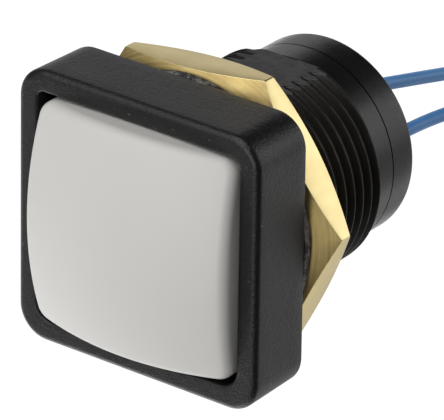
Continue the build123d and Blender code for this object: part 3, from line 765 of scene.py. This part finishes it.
BEV = 0.045
nut_rings = [
    nut_ring(lambda b: BORE, lambda b: NR + 0.35),
    nut_ring(lambda b: BORE, lambda b: NF - 0.35),
    nut_ring(lambda b: BORE + 0.33, lambda b: NF - 0.02),
    nut_ring(lambda b: BORE + 0.37, lambda b: NF),
    nut_ring(lambda b: (BORE + C0) / 2 + 0.1, lambda b: NF),
    nut_ring(lambda b: C0 - 0.03, lambda b: NF),
    nut_ring(lambda b: C0 + 0.03, lambda b: NF - 0.03 * CT),
    nut_ring(lambda b: C0 + (hex_r(b) - BEV - C0) * 0.5, lambda b: NF - (hex_r(b) - BEV - C0) * 0.5 * CT),
    nut_ring(lambda b: hex_r(b) - BEV, lambda b: NF - cone_z(b, BEV)),
    nut_ring(lambda b: hex_r(b) - BEV * 0.22, lambda b: NF - cone_z(b, BEV * 0.22) - BEV * 0.18),
    nut_ring(lambda b: hex_r(b), lambda b: NF - cone_z(b) - BEV * 0.75),
    nut_ring(lambda b: hex_r(b), lambda b: (NF + NR) / 2),
    nut_ring(lambda b: hex_r(b), lambda b: NR + cone_z(b) + BEV * 0.75),
    nut_ring(lambda b: hex_r(b) - BEV * 0.22, lambda b: NR + cone_z(b, BEV * 0.22) + BEV * 0.18),
    nut_ring(lambda b: hex_r(b) - BEV, lambda b: NR + cone_z(b, BEV)),
    nut_ring(lambda b: C0 + (hex_r(b) - BEV - C0) * 0.5, lambda b: NR + (hex_r(b) - BEV - C0) * 0.5 * CT),
    nut_ring(lambda b: C0 + 0.03, lambda b: NR + 0.03 * CT),
    nut_ring(lambda b: C0 - 0.03, lambda b: NR),
    nut_ring(lambda b: (BORE + C0) / 2 + 0.1, lambda b: NR),
    nut_ring(lambda b: BORE + 0.37, lambda b: NR),
    nut_ring(lambda b: BORE + 0.33, lambda b: NR + 0.02),
]
verts, faces = bridge_rings(nut_rings, loop=True)
nut = mesh_object("nut", verts, faces[::-1], 24)
turned = nut.data.attributes.new("turned", "FLOAT", "POINT")
turned.data.foreach_set("value", [0.0 if 9 <= i // len(nb) <= 13 else 1.0 for i in range(len(verts))])
place(nut, "nut", "nut_brass", "hex_nut", material=NUT)

# ------------------------------------------------------------------ cap
CAP_H, CAP_R, DOME_R, TOP_Z, CAP_BOTTOM = 8.25, 1.15, 27.5, 8.82, 4.0
BARREL = 0.26 / CAP_H                    # the sides are slightly convex in plan
TILT_X, TILT_Y = -0.0192, -0.0106        # the cap leans in its clearance, as pictured
SHIFT_X, SHIFT_Y = 0.11, 0.09
ZC = TOP_Z - DOME_R
EDGE = 0.85
outer = square_ring(CAP_H, CAP_R, 0.0, 26, 10)
inner = square_ring(CAP_H - EDGE, CAP_R - EDGE + 0.001, 0.0, 26, 10)
rings = []
for f in (0.02, 0.08, 0.16, 0.25, 0.35, 0.45, 0.55, 0.65, 0.74, 0.82, 0.89, 0.95):
    ring = []
    for (x, y, _), (ox, oy, _) in zip(inner, outer):
        # start as circles, become the square towards the edge
        ang = math.atan2(oy, ox)
        k = f ** 1.5
        px = f * ((1 - k) * CAP_H * math.cos(ang) + k * x)
        py = f * ((1 - k) * CAP_H * math.sin(ang) + k * y)
        ring.append((px, py, ZC + math.sqrt(DOME_R ** 2 - px * px - py * py)))
    rings.append(ring)
edge_rings = [[] for _ in range(8)]
for (ix, iy, _), (ox, oy, _) in zip(inner, outer):
    n2 = Vector((ox - ix, oy - iy, 0)).normalized()
    c = Vector((ix, iy, ZC + math.sqrt((DOME_R - EDGE) ** 2 - ix * ix - iy * iy)))
    up = (c - Vector((0, 0, ZC))).normalized()
    for i in range(8):
        d = up.slerp(n2, i / 7)
        edge_rings[i].append(tuple(c + d * EDGE))
rings += edge_rings
for z in (4.75, 4.45, CAP_BOTTOM + 0.1):
    rings.append([(x, y, min(z, e[2] - 0.05)) for (x, y, _), e in zip(outer, edge_rings[-1])])
rings.append(square_ring(CAP_H - 0.1, CAP_R - 0.1, CAP_BOTTOM, 26, 10))
rings.append(square_ring(CAP_H - 1.2, 0.4, CAP_BOTTOM, 26, 10))
rings.append(square_ring(CAP_H - 1.2, 0.4, 5.3, 26, 10))
rings.append(square_ring(4.2, 0.4, 7.0, 26, 10))
rings.append(ring_like(outer, 4.1, 5.2))
rings.append(ring_like(outer, 2.6, 5.2))
rings.append(ring_like(outer, 2.6, 7.2))
verts, faces = bridge_rings(rings, cap_start=True, cap_end=True, flip=True)


def lean(p):
    x, y, z = p
    w = min(1.0, max(0.0, (z - CAP_BOTTOM) / 1.6))
    bx, by = x * (1 - BARREL * (y / CAP_H) ** 2), y * (1 - BARREL * (x / CAP_H) ** 2)
    return bx + SHIFT_X, by + SHIFT_Y, z + w * w * (3 - 2 * w) * (TILT_X * x + TILT_Y * y)


verts = [lean(p) for p in verts]
cap = mesh_object("cap", verts, faces, 45)
place(cap, "button", "cap_plastic", "button_cap", material=CAP)


# ------------------------------------------------------------------ springs
def coil(name, radius, wire, low, high, turns, dead=0.9, n_wire=10, per_turn=36):
    """Round wire helix whose end coils lie flat."""
    total = turns + 2 * dead
    steps = int(total * per_turn)
    verts, faces = [], []
    dead_rise = wire * 2.0 * dead * 0.55
    for j in range(steps + 1):
        t = j / steps * total
        if t < dead:
            z = low + dead_rise * t / dead
        elif t > total - dead:
            z = high - dead_rise * (total - t) / dead
        else:
            f = (t - dead) / turns
            z = low + dead_rise + (high - low - 2 * dead_rise) * f
        a = 2 * math.pi * t
        c, s = math.cos(a), math.sin(a)
        for i in range(n_wire):
            w = 2 * math.pi * i / n_wire
            rr = radius + wire * math.cos(w)
            verts.append((rr * c, rr * s, z + wire * math.sin(w)))
    for j in range(steps):
        for i in range(n_wire):
            k = (i + 1) % n_wire
            faces.append((j * n_wire + i, (j + 1) * n_wire + i, (j + 1) * n_wire + k, j * n_wire + k))
    faces.append(tuple(range(n_wire)))
    faces.append(tuple(steps * n_wire + i for i in range(n_wire))[::-1])
    return mesh_object(name, verts, faces, 60)


spring = coil("return_coil", 4.45, 0.25, -0.49, 4.14, 3.2)
place(spring, "switch_body", "spring_steel", "return_spring", material=STEEL)
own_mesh(spring)
small = coil("contact_coil", 2.05, 0.16, -7.43, -5.17, 2.6)
place(small, "button", "spring_steel", "contact_spring", material=STEEL)
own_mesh(small)

# ------------------------------------------------------------------ sealed inner pieces keep their CAD shape
for node, material in {
    "plunger": PLUNGER, "plunger_seal": SEAL, "plunger_clip": STEEL, "spring_washer": STEEL,
    "contact_bridge": CONTACT, "bridge_tips": SILVER, "bridge_retainer": STEEL,
    "terminal_upper": CONTACT, "terminal_lower": CONTACT, "terminal_tips": SILVER,
    "lead_upper_core": TINNED, "lead_lower_core": TINNED,
}.items():
    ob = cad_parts[node]
    for s in ob.material_slots:
        s.material = material

# ------------------------------------------------------------------ floor and light
floor_mat = bpy.data.materials.new("floor")
floor_mat.use_nodes = True
t = floor_mat.node_tree
for nd in list(t.nodes):
    t.nodes.remove(nd)
out = t.nodes.new("ShaderNodeOutputMaterial")
geo = t.nodes.new("ShaderNodeNewGeometry")
emi = t.nodes.new("ShaderNodeEmission")
emi.inputs["Color"].default_value = (1.0, 1.0, 1.0, 1.0)
emi.inputs["Strength"].default_value = 1.08
clear = t.nodes.new("ShaderNodeBsdfTransparent")
mix = t.nodes.new("ShaderNodeMixShader")
t.links.new(geo.outputs["Backfacing"], mix.inputs[0])
t.links.new(emi.outputs[0], mix.inputs[1])
t.links.new(clear.outputs[0], mix.inputs[2])
t.links.new(mix.outputs[0], out.inputs[0])
fz = -0.085
fl = bpy.data.meshes.new("floor")
fl.from_pydata([(-1.5, -1.5, fz), (1.5, -1.5, fz), (1.5, 1.5, fz), (-1.5, 1.5, fz)], [], [(0, 1, 2, 3)])
floor = bpy.data.objects.new("floor", fl)
fl.materials.append(floor_mat)
bpy.context.scene.collection.objects.link(floor)
# seen by the camera alone: the surround below lights the object instead
floor.visible_diffuse = False
floor.visible_glossy = False
floor.visible_transmission = False
floor.visible_shadow = False

# soft surround: brightness round the compass in three belts of elevation, and overhead
LOW_BELT = [
    (-180, 0.50), (-150, 1.04), (-117, 0.74), (-93, 0.47), (-63, 0.90), (-40, 0.52), (-15, 0.54), (3, 1.10),
    (20, 1.40), (38, 1.36), (53, 0.40), (72, 0.09), (98, 0.05), (122, 0.05), (150, 0.68), (180, 0.50),
]
MID_BELT = [(-180, 0.09), (-120, 2.48), (-60, 0.09), (0, 0.09), (60, 0.09), (120, 0.09), (180, 0.09)]
HIGH_BELT = [(-180, 0.09), (-120, 0.09), (-60, 0.09), (0, 0.09), (60, 0.09), (120, 1.90), (180, 0.09)]
OVERHEAD = 2.60
TOP_LEVEL = 4.0

world = bpy.data.worlds.new("world")
bpy.context.scene.world = world
world.use_nodes = True
wt = world.node_tree


def wnode(kind, **values):
    n = wt.nodes.new(kind)
    for key, v in values.items():
        setattr(n, key, v)
    return n


wdir = wnode("ShaderNodeTexCoord").outputs["Generated"]
wsep = wnode("ShaderNodeSeparateXYZ")
wt.links.new(wdir, wsep.inputs[0])
watan = wnode("ShaderNodeMath", operation="ARCTAN2")
wt.links.new(wsep.outputs[1], watan.inputs[0])
wt.links.new(wsep.outputs[0], watan.inputs[1])
wturn = wnode("ShaderNodeMath", operation="MULTIPLY_ADD")
wt.links.new(watan.outputs[0], wturn.inputs[0])
wturn.inputs[1].default_value = 1 / (2 * math.pi)
wturn.inputs[2].default_value = 0.5


def belt(name, stops):
    n = wnode("ShaderNodeValToRGB")
    n.name = name
    n.color_ramp.interpolation = "EASE"
    while len(n.color_ramp.elements) < len(stops):
        n.color_ramp.elements.new(0.5)
    for e, (deg, v) in zip(n.color_ramp.elements, stops):
        e.position = deg / 360 + 0.5
    for e, (deg, v) in zip(n.color_ramp.elements, stops):
        e.color = (v / TOP_LEVEL, v / TOP_LEVEL, v / TOP_LEVEL, 1.0)
    wt.links.new(wturn.outputs[0], n.inputs["Fac"])
    return n.outputs["Color"]


def rise(sin_a, sin_b, low, high):
    r = wnode("ShaderNodeMapRange", interpolation_type="SMOOTHSTEP")
    r.inputs["From Min"].default_value = sin_a
    r.inputs["From Max"].default_value = sin_b
    wt.links.new(wsep.outputs[2], r.inputs["Value"])
    m = wnode("ShaderNodeMix", data_type="RGBA")
    wt.links.new(r.outputs["Result"], m.inputs["Factor"])
    wt.links.new(low, m.inputs[6])
    if isinstance(high, float):
        m.name = "overhead"
        m.inputs[7].default_value = (high / TOP_LEVEL, high / TOP_LEVEL, high / TOP_LEVEL, 1.0)
    else:
        wt.links.new(high, m.inputs[7])
    return m.outputs[2]


surround = rise(-0.60, -0.14, belt("low", LOW_BELT), belt("mid", MID_BELT))
surround = rise(0.34, 0.64, surround, belt("high", HIGH_BELT))
surround = rise(0.87, 0.98, surround, OVERHEAD)
wt.links.new(surround, wt.nodes["Background"].inputs["Color"])
wt.nodes["Background"].inputs["Strength"].default_value = TOP_LEVEL


def softbox(name, direction, distance, size, power, size_y=None, aim=(0.0, 0.0, 0.003)):
    d = Vector(direction).normalized()
    light = bpy.data.lights.new(name, "AREA")
    light.shape = "RECTANGLE"
    light.size = size
    light.size_y = size_y or size
    light.energy = power
    ob = bpy.data.objects.new(name, light)
    ob.location = Vector(aim) + d * distance
    ob.rotation_mode = "QUATERNION"
    ob.rotation_quaternion = (-d).to_track_quat("-Z", "Y")
    ob.visible_camera = False
    bpy.context.scene.collection.objects.link(ob)
    return ob


softbox("back", (-0.10, 0.90, 0.42), 0.45, 0.30, 0.60)

bpy.context.scene.view_settings.view_transform = "Standard"
bpy.context.scene.view_settings.look = "None"
